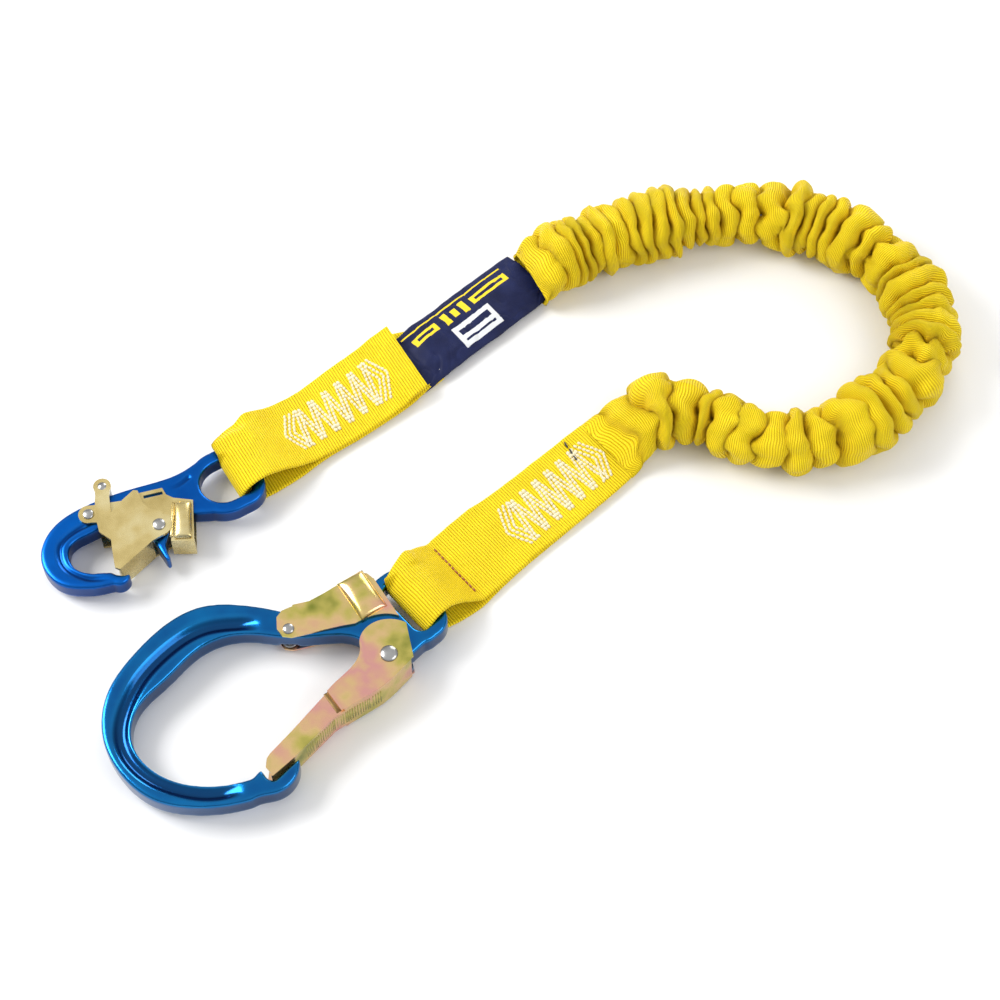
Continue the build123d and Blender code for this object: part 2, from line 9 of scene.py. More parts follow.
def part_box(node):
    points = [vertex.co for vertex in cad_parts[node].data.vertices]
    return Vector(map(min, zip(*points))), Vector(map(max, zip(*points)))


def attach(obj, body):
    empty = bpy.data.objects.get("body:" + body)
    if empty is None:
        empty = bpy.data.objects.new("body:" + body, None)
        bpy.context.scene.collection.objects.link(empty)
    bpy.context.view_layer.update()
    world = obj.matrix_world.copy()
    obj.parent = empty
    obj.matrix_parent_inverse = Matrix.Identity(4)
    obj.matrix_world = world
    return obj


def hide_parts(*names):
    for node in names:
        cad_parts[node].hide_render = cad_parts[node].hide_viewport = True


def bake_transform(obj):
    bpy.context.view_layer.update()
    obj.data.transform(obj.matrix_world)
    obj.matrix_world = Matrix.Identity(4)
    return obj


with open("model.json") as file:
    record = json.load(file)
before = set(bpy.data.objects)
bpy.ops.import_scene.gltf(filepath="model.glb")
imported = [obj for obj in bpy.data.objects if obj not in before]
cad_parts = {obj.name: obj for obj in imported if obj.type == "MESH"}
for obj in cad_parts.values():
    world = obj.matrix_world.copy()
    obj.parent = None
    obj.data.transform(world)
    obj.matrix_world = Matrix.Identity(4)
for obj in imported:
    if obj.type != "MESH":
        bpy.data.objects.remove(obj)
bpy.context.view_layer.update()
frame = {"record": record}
mm = 0.001
joints = {joint["name"]: joint for joint in frame["record"]["behaviour"]["joints"]}
print("frame loaded")

# small helpers


def smooth(x, low, high):
    t = min(1.0, max(0.0, (x - low) / (high - low)))
    return t * t * (3 - 2 * t)


def meshPiece(name, points, faces, uvs=None, marks=None):
    # points in metres; uvs per point in metres; marks = {attribute name: value per point}
    mesh = bpy.data.meshes.new(name)
    mesh.from_pydata([tuple(p) for p in points], [], faces)
    if uvs is not None:
        layer = mesh.uv_layers.new(name="cloth")
        corners = np.empty(len(mesh.loops), dtype=np.int32)
        mesh.loops.foreach_get("vertex_index", corners)
        layer.data.foreach_set("uv", np.asarray(uvs, dtype=np.float32)[corners].ravel())
    for key, values in (marks or {}).items():
        layer = mesh.attributes.new(key, "FLOAT", "POINT")
        layer.data.foreach_set("value", np.asarray(values, dtype=np.float32))
    mesh.polygons.foreach_set("use_smooth", [True] * len(mesh.polygons))
    mesh.update()
    piece = bpy.data.objects.new(name, mesh)
    bpy.context.scene.collection.objects.link(piece)
    return piece


def gridFaces(rows, columns, wrapColumns=False, start=0):
    faces = []
    last = columns if wrapColumns else columns - 1
    for i in range(rows - 1):
        for j in range(last):
            k = (j + 1) % columns
            faces.append((start + i * columns + j, start + i * columns + k,
                          start + (i + 1) * columns + k, start + (i + 1) * columns + j))
    return faces


def throughPoints(rows, step):
    # a smooth line through given rows of numbers (first two are the place), sampled every step
    rows = np.array(rows, float)
    rows = np.vstack([2 * rows[0] - rows[1], rows, 2 * rows[-1] - rows[-2]])
    line = []
    for a, b, c, d in zip(rows, rows[1:], rows[2:], rows[3:]):
        count = max(2, int(np.linalg.norm((c - b)[:2]) / step))
        for t in np.arange(count) / count:
            line.append(0.5 * (2 * b + (c - a) * t + (2 * a - 5 * b + 4 * c - d) * t * t
                               + (3 * b - a - 3 * c + d) * t ** 3))
    line.append(rows[-2])
    return np.array(line)


# node helpers for finishes


def newFinish(name):
    finish = bpy.data.materials.new(name)
    finish.use_nodes = True
    return finish, finish.node_tree.nodes["Principled BSDF"]


def node(finish, kind, **settings):
    made = finish.node_tree.nodes.new(kind)
    for key, value in settings.items():
        setattr(made, key, value)
    return made


def join(finish, a, b):
    finish.node_tree.links.new(a, b)


def sums(finish, operation, a, b=None, clamp=False):
    made = node(finish, "ShaderNodeMath", operation=operation, use_clamp=clamp)
    for place, value in zip(made.inputs, (a, b)):
        if value is None:
            continue
        if isinstance(value, (int, float)):
            place.default_value = value
        else:
            join(finish, value, place)
    return made.outputs[0]


def aroundLevel(finish, value, spread, level):
    # a value from 0 to 1 turned into one that varies by the spread about the level
    return sums(finish, "ADD", sums(finish, "MULTIPLY", value, spread), level - spread / 2)


def ramp(finish, factor, stops):
    made = node(finish, "ShaderNodeValToRGB")
    bar = made.color_ramp
    while len(bar.elements) < len(stops):
        bar.elements.new(0.5)
    for element, (place, colour) in zip(bar.elements, stops):
        element.position = place
        element.color = (*colour, 1)
    join(finish, factor, made.inputs["Fac"])
    return made.outputs["Color"]


def mixColour(finish, factor, a, b, blendType="MIX"):
    made = node(finish, "ShaderNodeMix", data_type="RGBA", blend_type=blendType)
    for place, value in ((made.inputs["Factor"], factor), (made.inputs[6], a), (made.inputs[7], b)):
        if isinstance(value, (int, float)):
            place.default_value = value
        elif isinstance(value, tuple):
            place.default_value = (*value, 1)
        else:
            join(finish, value, place)
    return made.outputs[2]


def cloud(finish, scale, detail=3.0, rough=0.5):
    made = node(finish, "ShaderNodeTexNoise")
    made.inputs["Scale"].default_value = scale
    made.inputs["Detail"].default_value = detail
    made.inputs["Roughness"].default_value = rough
    join(finish, node(finish, "ShaderNodeTexCoord").outputs["Object"], made.inputs["Vector"])
    return made.outputs["Fac"]


def bump(finish, shader, height, distance, strength=1.0):
    made = node(finish, "ShaderNodeBump")
    made.inputs["Distance"].default_value = distance
    made.inputs["Strength"].default_value = strength
    join(finish, height, made.inputs["Height"])
    join(finish, made.outputs["Normal"], shader.inputs["Normal"])


# woven and sewn finishes

webbing = {
    "ribPitch": 1.62 * mm,  # from rib to rib along the strap
    "yarnPitch": 1.05 * mm,  # warp yarns across it
    # deep and crest paint shade into the rib valleys and a highlight onto the rib crests; body is the
    # webbing's own yellow
    "deep": (0.60, 0.35, 0.0),
    "body": (0.93, 0.665, 0.004),
    "crest": (0.99, 0.765, 0.012),
    "ribDepth": 0.6 * mm,
    "wander": 0.9,  # how far the ribs stray, in ribs
    # painted shade: the colour laid into fold valleys, tube ends and under laps, and how much of it
    "creaseShadeColour": (0.74, 0.44, 0.0),
    "creaseShadeShare": 0.65,
    "rough": 0.52,
    "sheen": 0.02,
    "specular": 0.2,
}


def webbingFinish():
    finish, shader = newFinish("yellowWebbing")
    place = node(finish, "ShaderNodeUVMap", uv_map="cloth").outputs["UV"]
    split = node(finish, "ShaderNodeSeparateXYZ")
    join(finish, place, split.inputs[0])
    drift = sums(finish, "MULTIPLY", sums(finish, "SUBTRACT", cloud(finish, 60, 2), 0.5), webbing["wander"])
    ribs = sums(finish, "ADD", sums(finish, "DIVIDE", split.outputs["X"], webbing["ribPitch"]), drift)
    wave = sums(finish, "ABSOLUTE", sums(finish, "SINE", sums(finish, "MULTIPLY", ribs, math.pi)))
    ribHeight = sums(finish, "POWER", wave, 0.7)
    step = sums(finish, "MULTIPLY", sums(finish, "FLOOR", ribs), math.pi)
    yarns = sums(finish, "MULTIPLY", split.outputs["Y"], 2 * math.pi / webbing["yarnPitch"])
    yarnHeight = sums(finish, "MULTIPLY", sums(finish, "SINE", sums(finish, "ADD", yarns, step)), 0.13)
    height = sums(finish, "ADD", ribHeight, yarnHeight)
    # painted shade and highlight: rib valleys take the deep colour, rib crests the bright crest colour
    colour = ramp(finish, height, [(0.0, webbing["deep"]), (0.45, webbing["body"]), (1.0, webbing["crest"])])
    patches = cloud(finish, 38, 3, 0.6)
    shade = ramp(finish, patches, [(0.25, (0.88, 0.85, 0.75)), (0.7, (1.0, 1.0, 1.0))])
    colour = mixColour(finish, 1.0, colour, shade, "MULTIPLY")
    # painted shade: the fold mark darkens the webbing in fold valleys, in the tube's turned-in ends and under
    # the strap's fold where it rides over the arm
    fold = node(finish, "ShaderNodeAttribute", attribute_name="foldShade").outputs["Fac"]
    crease = sums(finish, "MULTIPLY", fold, webbing["creaseShadeShare"])
    colour = mixColour(finish, crease, colour, webbing["creaseShadeColour"])
    join(finish, colour, shader.inputs["Base Color"])
    fuzz = cloud(finish, 900, 2)
    join(finish, aroundLevel(finish, fuzz, 0.2, webbing["rough"]), shader.inputs["Roughness"])
    shader.inputs["Sheen Weight"].default_value = webbing["sheen"]
    shader.inputs["Sheen Roughness"].default_value = 0.4
    shader.inputs["Specular IOR Level"].default_value = webbing["specular"]
    bump(finish, shader, sums(finish, "ADD", height, sums(finish, "MULTIPLY", fuzz, 0.15)),
         webbing["ribDepth"], 1.0)
    return finish


def threadFinish(name, light, dark):
    finish, shader = newFinish(name)
    twist = node(finish, "ShaderNodeTexWave", wave_type="BANDS", bands_direction="DIAGONAL")
    twist.inputs["Scale"].default_value = 900
    twist.inputs["Distortion"].default_value = 2
    join(finish, node(finish, "ShaderNodeTexCoord").outputs["Object"], twist.inputs["Vector"])
    join(finish, ramp(finish, twist.outputs["Fac"], [(0.1, dark), (0.7, light)]), shader.inputs["Base Color"])
    shader.inputs["Roughness"].default_value = 0.42
    shader.inputs["Sheen Weight"].default_value = 0.2
    bump(finish, shader, twist.outputs["Fac"], 0.08 * mm, 0.7)
    return finish


yellowWebbing = webbingFinish()
creamThread = threadFinish("creamThread", (0.93, 0.88, 0.66), (0.60, 0.50, 0.24))
redThread = threadFinish("redThread", (0.42, 0.07, 0.02), (0.14, 0.02, 0.01))
blackThread = threadFinish("blackThread", (0.035, 0.03, 0.025), (0.008, 0.008, 0.008))
whiteStrand = threadFinish("whiteStrand", (0.80, 0.80, 0.77), (0.50, 0.50, 0.47))

# painted and plated finishes


def paintFinish(name, deep, body, rough, coat, metallic):
    finish, shader = newFinish(name)
    edge = node(finish, "ShaderNodeNewGeometry").outputs["Pointiness"]
    worn = ramp(finish, edge, [(0.50, (0, 0, 0)), (0.60, (1, 1, 1))])
    drift = ramp(finish, cloud(finish, 24, 4, 0.6), [(0.3, deep), (0.7, body)])
    pale = (min(1, body[0] + 0.02), min(1, body[1] * 1.9), min(1, body[2] * 1.5))
    # painted shade: a mark darkens the paint towards a deep blue in the pressed channels and on the side
    # walls, standing in for the shade that falls there
    paintedShade = node(finish, "ShaderNodeAttribute", attribute_name="paintedShade").outputs["Fac"]
    drift = mixColour(finish, paintedShade, drift, tuple(v * 0.42 for v in deep))
    join(finish, mixColour(finish, worn, drift, pale), shader.inputs["Base Color"])
    grain = cloud(finish, 1400, 3)
    join(finish, aroundLevel(finish, grain, 0.10, rough), shader.inputs["Roughness"])
    shader.inputs["Metallic"].default_value = metallic
    shader.inputs["Coat Weight"].default_value = coat
    shader.inputs["Coat Roughness"].default_value = 0.12
    bump(finish, shader, cloud(finish, 420, 3), 0.05 * mm, 0.5)
    return finish


def platedFinish(name, stops, scale, rough):
    finish, shader = newFinish(name)
    stain = cloud(finish, scale, 3.5, 0.55)
    join(finish, ramp(finish, stain, stops), shader.inputs["Base Color"])
    brush = cloud(finish, 1100, 2)
    join(finish, aroundLevel(finish, brush, 0.08, rough), shader.inputs["Roughness"])
    shader.inputs["Metallic"].default_value = 0.92
    dents = sums(finish, "ADD", sums(finish, "MULTIPLY", brush, 0.35), cloud(finish, 160, 2))
    bump(finish, shader, dents, 0.02 * mm, 0.3)
    return finish


satinBlue = paintFinish("satinBlue", (0.0, 0.065, 0.33), (0.0, 0.115, 0.50), 0.32, 0.12, 1.0)
glossBlue = paintFinish("glossBlue", (0.0, 0.085, 0.31), (0.0, 0.17, 0.47), 0.22, 0.25, 1.0)
goldZinc = platedFinish("goldZinc", [(0.25, (0.46, 0.34, 0.11)), (0.5, (0.68, 0.54, 0.23)),
                                     (0.75, (0.84, 0.74, 0.42))], 45, 0.27)
yellowChromate = platedFinish("yellowChromate", [
    (0.30, (0.24, 0.27, 0.04)), (0.39, (0.60, 0.52, 0.13)), (0.46, (0.80, 0.56, 0.26)),
    (0.52, (0.80, 0.46, 0.30)), (0.57, (0.78, 0.38, 0.34)), (0.63, (0.80, 0.56, 0.26)),
    (0.72, (0.40, 0.47, 0.12))], 26, 0.2)
oliveChromate = platedFinish("oliveChromate", [(0.3, (0.34, 0.33, 0.08)), (0.6, (0.50, 0.46, 0.16)),
                                              (0.8, (0.62, 0.52, 0.26))], 40, 0.34)
# painted shade: a dark brown finish for the strip that stands in for the shadowed ramp of the gate's step
paintedStepShade = platedFinish("paintedStepShade", [(0.3, (0.16, 0.09, 0.03)), (0.7, (0.30, 0.20, 0.08))], 60, 0.4)
brightSteel = platedFinish("brightSteel", [(0.3, (0.34, 0.34, 0.34)), (0.7, (0.48, 0.48, 0.47))], 90, 0.24)
springSteel = platedFinish("springSteel", [(0.3, (0.35, 0.35, 0.36)), (0.7, (0.52, 0.52, 0.52))], 120, 0.35)


def dress(name, finish):
    piece = bpy.data.objects[name] if isinstance(name, str) else name
    piece.data.materials.clear()
    piece.data.materials.append(finish)
    return piece


print("finishes made")

# floor, camera and lights come first

floorHalf = 6
floorMesh = bpy.data.meshes.new("floor")
floorCorners = [(x * floorHalf, y * floorHalf, 0) for x, y in ((-1, -1), (1, -1), (1, 1), (-1, 1))]
floorMesh.from_pydata(floorCorners, [], [(0, 1, 2, 3)])
floor = bpy.data.objects.new("floor", floorMesh)
bpy.context.scene.collection.objects.link(floor)
floorFinish, floorShader = newFinish("paleFloor")
floorTones = [(0.3, (0.86, 0.86, 0.86)), (0.7, (0.88, 0.88, 0.88))]
join(floorFinish, ramp(floorFinish, cloud(floorFinish, 3, 2), floorTones), floorShader.inputs["Base Color"])
floorShader.inputs["Roughness"].default_value = 0.75
floor.data.materials.append(floorFinish)

view = {"place": (-0.0061, -0.6852, 1.1778), "lean": 30, "lens": 85, "sensor": 36}
cameraData = bpy.data.cameras.new("camera")
cameraData.lens = view["lens"]
cameraData.sensor_width = view["sensor"]
camera = bpy.data.objects.new("camera", cameraData)
bpy.context.scene.collection.objects.link(camera)
camera.location = view["place"]
camera.rotation_euler = (math.radians(view["lean"]), 0, 0)
bpy.context.scene.camera = camera

studio = {
    "key": {"place": (-1.15, 0.25, 0.95), "size": 0.75, "power": 19.5},
    "fill": {"place": (0.95, -0.55, 0.90), "size": 0.9, "power": 7},
    "rim": {"place": (0.35, 1.25, 0.60), "size": 0.6, "power": 6},
}
for name, light in studio.items():
    lamp = bpy.data.lights.new(name, "AREA")
    lamp.energy = light["power"]
    lamp.size = light["size"]
    holder = bpy.data.objects.new(name, lamp)
    bpy.context.scene.collection.objects.link(holder)
    holder.location = light["place"]
    holder.rotation_euler = Vector(light["place"]).to_track_quat("Z", "Y").to_euler()

room = {"low": (0.02, (0.22, 0.22, 0.23)), "high": (0.85, (0.78, 0.78, 0.78)), "strength": 1.02}
world = bpy.data.worlds.new("studio")
bpy.context.scene.world = world
world.use_nodes = True
sky = world.node_tree.nodes["Background"]
skyPlace = world.node_tree.nodes.new("ShaderNodeTexCoord")
skySplit = world.node_tree.nodes.new("ShaderNodeSeparateXYZ")
skyRamp = world.node_tree.nodes.new("ShaderNodeValToRGB")
world.node_tree.links.new(skyPlace.outputs["Generated"], skySplit.inputs[0])
world.node_tree.links.new(skySplit.outputs["Z"], skyRamp.inputs["Fac"])
world.node_tree.links.new(skyRamp.outputs["Color"], sky.inputs["Color"])
for element, (place, colour) in zip(skyRamp.color_ramp.elements, (room["low"], room["high"])):
    element.position = place
    element.color = (*colour, 1)
sky.inputs["Strength"].default_value = room["strength"]
bpy.context.scene.view_settings.view_transform = "Standard"
print("floor, camera and lights set")

# the gathered stretch leg

legPoints = [
    (11.9, 143.3, 18), (49.9, 164.3, 18), (101.9, 181.3, 18), (159.9, 187.3, 18), (207.9, 168.3, 18),
    (241.9, 130.3, 18), (247.9, 88.3, 18), (223.9, 50.3, 18), (177.9, 21.3, 18), (147.9, 22.3, 18),
    (127.9, 30.3, 18), (108.9, 41.3, 18), (89.9, 44.8, 18), (70.5, 38.3, 18), (55.5, 25.1, 18),
]
gathers = {
    "lobeWidths": (6.8, 20.5),  # shortest and longest fold along the leg
    "outer": 21.4,  # radius at the folds' crests
    "depth": (7.0, 13.0),  # how far the valleys go in
    "swell": (-4.2, 2.8),  # how far whole folds stand in or out
    "lobePower": 1.7,  # above 1 makes most folds narrow
    "drift": (2.1, 0.35),  # long and short wander of the folds round the leg
    "grow": (1.6, 0.22, 1.55),  # how the depth changes round the leg, with its least and most
    "lumps": 2.5,
    "crinkle": 0.75,
    "pucker": 1.3,
    "girth": 94 * mm,  # the flat tube's way round, for the weave
    "ringsPerLobe": 26,
    "around": 100,
    "endRadius": 17.5,
    "sleeveEnd": {"run": (-6, 14), "half": 21.5, "tall": 5.6, "middle": 5.9},
    "strapEnd": {"run": (0, 34), "half": 23.0, "tall": 3.1, "middle": 3.2},
    "middle": 18.6,
    "seed": 11,
}

routeData = bpy.data.curves.new("legRoute", "CURVE")
routeData.dimensions = "3D"
routeLine = routeData.splines.new("NURBS")
routeLine.points.add(len(legPoints) - 1)
for spot, (x, y, z) in zip(routeLine.points, legPoints):
    spot.co = (x * mm, y * mm, z * mm, 1)
routeLine.order_u = 3
routeLine.use_endpoint_u = True
routeLine.resolution_u = 24
routeHolder = bpy.data.objects.new("legRoute", routeData)
bpy.context.scene.collection.objects.link(routeHolder)
bpy.context.view_layer.update()
routeMesh = bpy.data.meshes.new_from_object(routeHolder)
legPath = [v.co.copy() for v in routeMesh.vertices]
bpy.data.objects.remove(routeHolder)
legRuns = np.array([(b - a).length for a, b in zip(legPath, legPath[1:])])
legStations = np.concatenate([[0], np.cumsum(legRuns)])
legLength = float(legStations[-1])
legLine = np.array([tuple(p) for p in legPath])
print("leg route is", round(legLength / mm, 1), "mm long")


def legPlace(s):
    # the place and heading at s metres along the leg; runs straight on past its ends
    inside = min(max(s, 0.0), legLength)
    spot = np.array([np.interp(inside, legStations, legLine[:, k]) for k in range(3)])
    a, b = max(inside - 0.004, 0), min(inside + 0.004, legLength)
    ahead = np.array([np.interp(b, legStations, legLine[:, k]) - np.interp(a, legStations, legLine[:, k])
                      for k in range(3)])
    ahead /= np.linalg.norm(ahead)
    return spot + ahead * (s - inside), ahead


def gatheredLeg():
    chance = random.Random(gathers["seed"])
    lobes = []
    room = 0.0
    length = legLength / mm
    narrow, wide = gathers["lobeWidths"]
    while room < length - 4:
        width = narrow + (wide - narrow) * chance.random() ** gathers["lobePower"]
        depth = chance.uniform(*gathers["depth"])
        chance.random(), chance.random()  # two draws passed over; without them every fold changes
        swell = chance.uniform(*gathers["swell"])
        lobes.append({"start": room, "width": width, "depth": depth, "swell": swell})
        room += width
    squeeze = length / room
    for lobe in lobes:
        lobe["start"] *= squeeze
        lobe["width"] *= squeeze
    rings = gathers["ringsPerLobe"]
    around = gathers["around"]
    starts = np.array([lobe["start"] for lobe in lobes])
    keys = {name: np.array([lobe[name] for lobe in lobes]) for name in ("width", "depth", "swell")}
    middles = starts + keys["width"] / 2
    points, marks, shifts, rowsMade = [], [], [], 0
    atSleeve, atStrap = gathers["sleeveEnd"], gathers["strapEnd"]
    for k in range(len(lobes) * rings + 1):
        lobeAt = k / rings
        phase = 2 * math.pi * lobeAt
        index = min(int(lobeAt), len(lobes) - 1)
        base = starts[index] + (lobeAt - index) * keys["width"][index]
        local = {name: float(np.interp(base, middles, values)) for name, values in keys.items()}
        fade = smooth(base, -3, 8) * smooth(length - base, 3, 20)
        for j in range(around):
            angle = 2 * math.pi * j / around
            side, up = math.cos(angle), math.sin(angle)
            drift = gathers["drift"][0] * noise.noise(Vector((base / 30, side * 1.25, up * 1.25 + 7)))
            drift += gathers["drift"][1] * noise.noise(Vector((base / 12, side * 2.2 + 31, up * 2.2 + 7)))
            turned = phase + drift * 1.4
            growth, least, most = gathers["grow"]
            grow = 1.0 + growth * noise.noise(Vector((base / 17, side * 1.5 + 3, up * 1.5)))
            depth = local["depth"] * min(most, max(least, grow))
            crest = (0.5 - 0.5 * math.cos(turned)) ** 0.68
            radius = gathers["outer"] + local["swell"] - depth * (1 - crest)
            radius += gathers["lumps"] * noise.noise(Vector((base / 12, side * 1.8, up * 1.8 + 21)))
            crease = noise.noise(Vector((base / 5.5 + angle * 0.7, side * 4.2, up * 4.2 + 40)))
            radius += gathers["crinkle"] * crease
            pucker = abs(noise.noise(Vector((base / 26, side * 7.5, up * 7.5 + 90))))
            radius -= gathers["pucker"] * (1 - crest) * (1 - smooth(pucker, 0.0, 0.18))
            lean = local["width"] * 0.225 * (0.85 + 0.6 * noise.noise(Vector((base / 23, side + 50, up))))
            s = base - lean * math.sin(turned) * fade
            s += fade * 1.6 * noise.noise(Vector((base / 15, side * 1.8 + 70, up * 1.8)))
            startFlat = 1 - smooth(base, *atSleeve["run"])
            endFlat = 1 - smooth(length - base, *atStrap["run"])
            roundness = (1 - startFlat) * (1 - endFlat)
            radius = radius * fade + gathers["endRadius"] * (1 - fade)
            half = radius * roundness + atSleeve["half"] * startFlat + atStrap["half"] * endFlat
            tall = radius * roundness + atSleeve["tall"] * startFlat + atStrap["tall"] * endFlat
            middle = gathers["middle"] * roundness
            middle += atSleeve["middle"] * startFlat + atStrap["middle"] * endFlat
            low = 0.86 if up < 0 else 1.0
            z = middle + tall * up * (low * (1 - max(startFlat, endFlat)) + max(startFlat, endFlat))
            z = max(z, 0.35 + 0.25 * (1 + math.sin(turned)))
            boxy = 1 + 0.10 * (startFlat + endFlat) * (1 - abs(side))
            spot, ahead = legPlace(s * mm)
            across = np.array((ahead[1], -ahead[0], 0.0))
            place = spot + across * side * half * boxy * mm
            points.append((place[0], place[1], z * mm))
            # painted shade mark, deepest in the fold valleys
            marks.append((1 - crest) ** 1.2 * fade * min(1.0, depth / 7))
            # ribs follow the folds
            shifts.append((turned - phase) / (2 * math.pi) * local["width"] * 1.6 * mm)
        rowsMade += 1
    spread = np.array(points).reshape(rowsMade, around, 3)
    runs = np.linalg.norm(np.diff(spread, axis=0), axis=2)
    along = np.concatenate([[0], np.cumsum(np.median(runs, axis=1) * 0.35 + np.max(runs, axis=1) * 0.65)])
    turns = [min(j, around - j) / around * gathers["girth"] for j in range(around)]
    uvs = np.array([(along[i] + shifts[i * around + j], turns[j])
                    for i in range(rowsMade) for j in range(around)])
    faces = gridFaces(rowsMade, around, wrapColumns=True)
    # a turned-in wall at each end, so the cloth has an edge
    for row, shift in ((0, 1), (rowsMade - 1, -1)):
        ring = spread[row]
        centre = ring.mean(axis=0)
        begin = len(points)
        for j in range(around):
            points.append(tuple(centre + (ring[j] - centre) * 0.93))
            # painted shade mark on the turned-in end wall
            marks.append(0.6)
        uvs = np.vstack([uvs, [(along[row] + 0.001, uvs[row * around + j][1]) for j in range(around)]])
        for j in range(around):
            k = (j + 1) % around
            quad = (row * around + j, row * around + k, begin + k, begin + j)
            faces.append(quad if shift < 0 else quad[::-1])
    jacket = meshPiece("gatheredJacket", points, faces, uvs, {"foldShade": marks})
    print("gathered leg:", len(lobes), "folds,", len(points), "points")
    return jacket


gatheredJacket = dress(gatheredLeg(), yellowWebbing)
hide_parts("stretch_jacket")


def innerStrand(name, nodeName, finish, sections):
    # what the jacket hides: flat core or round strands, inside the gathers only
    points, faces, uvs = [], [], []
    stations = np.arange(48, legLength / mm - 62, 3.0)
    for offset, rise, half, tall, sides in sections:
        start = len(points)
        for s in stations:
            spot, ahead = legPlace(s * mm)
            across = np.array((ahead[1], -ahead[0], 0.0))
            for j in range(sides):
                angle = 2 * math.pi * (j + 0.5) / sides
                place = spot + across * (offset + half * math.cos(angle)) * mm
                points.append((place[0], place[1], spot[2] + (rise + tall * math.sin(angle)) * mm))
                uvs.append((s * mm, j * mm))
        faces += gridFaces(len(stations), sides, wrapColumns=True, start=start)
        last = start + (len(stations) - 1) * sides
        faces.append(tuple(range(start, start + sides))[::-1])
        faces.append(tuple(range(last, last + sides)))
    piece = dress(meshPiece(name, points, faces, uvs), finish)
    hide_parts(nodeName)
    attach(piece, "lanyard")


innerStrand("innerCore", "shock_core", whiteStrand, [(0, 0, 6.5, 1.5, 16)])
innerStrand("innerStrands", "elastic_strands", whiteStrand,
            [(side, rise, 1.5, 1.5, 12) for side in (-4.0, 4.0) for rise in (-4.2, 4.2)])
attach(gatheredJacket, "lanyard")
print("gathered leg made")

# the flat straps, each looped round its hook's eye bar


def strapPlace(jointName):
    swing = joints[jointName]
    origin = Vector(swing["pos_m"])
    turn = Vector(swing["axis"])
    return {"origin": origin, "along": Vector((turn.y, -turn.x, 0)), "across": Vector((turn.x, turn.y, 0))}


snapStrapPlace = strapPlace("snap_hook_swing")
rebarStrapPlace = strapPlace("rebar_hook_swing")


def onStrap(place, s, t, z):
    spot = place["origin"] + (place["along"] * s + place["across"] * t) * mm
    return Vector((spot.x, spot.y, z * mm))


snapStrap = {
    # along from the bar, height, low edge, high edge, from inside the sleeve round the bar to the cut end
    "rows": [
        (130, 2.6, 4, 42), (116, 2.6, 1.5, 46), (100, 2.55, -2.6, 45), (70, 2.5, -6.4, 41.2),
        (45, 2.4, -8.2, 36.4), (26, 2.2, -11.5, 32.5), (12, 2.1, -12.9, 31), (4, 2.1, -13.2, 30.5),
        (-4, 2.9, -13.0, 27),
        (-10.0, 6.2, -12.9, 24.4), (-12.2, 12.2, -12.7, 21.6), (-9.8, 18.4, -12.7, 23.4),
        (-3.0, 21.8, -12.3, 27.8),
        (6, 21.0, -11.2, 31.4), (16, 17.0, -10.4, 32.6), (26, 11.2, -9.8, 33.5), (36, 6.9, -8.6, 35),
        (50, 5.1, -7.6, 36.8), (75, 5.0, -5.6, 41.8), (96, 6.0, -2.9, 45.0), (106, 8.6, -1.4, 46.4),
        (117, 10.2, 0.6, 47.4),
    ],
    "thickness": 2.2,
    "arm": (11.2, 14.8),  # the ring's arm starts between these, and the far edge rides over it
    "armTop": 18.9,
}
rebarStrap = {
    "rows": [
        (149, 1.3, -12.5, 29.0), (120, 1.25, -14.2, 29.6), (90, 1.25, -15.2, 29.4), (60, 1.25, -16.2, 29.8),
        (40, 1.3, -18.0, 28.8), (26, 1.35, -19.6, 27.0), (12, 1.8, -18.6, 24.5), (4, 2.3, -17.2, 21.5),
        (-3, 3.4, -16.9, 19.5), (-8.0, 7.0, -16.8, 18.8), (-10.3, 12.7, -16.6, 18.6),
        (-8.0, 18.9, -16.6, 19.0),
        (-1.0, 22.8, -16.2, 22.0), (8, 20.9, -15.6, 25.0), (16, 14.6, -15.6, 26.6), (23, 8.2, -16.4, 27.4),
        (28, 4.6, -17.6, 27.9), (34, 3.7, -17.8, 28.8), (58, 3.55, -16.4, 30.2), (75, 3.5, -15.2, 29.2),
        (110, 3.5, -15.4, 29.2), (140, 3.6, -14.2, 29.8), (149, 3.8, -12.5, 29.0),
    ],
    "thickness": 2.2,
    "arm": (16.0, 18.6),
    "armTop": 21.3,
}


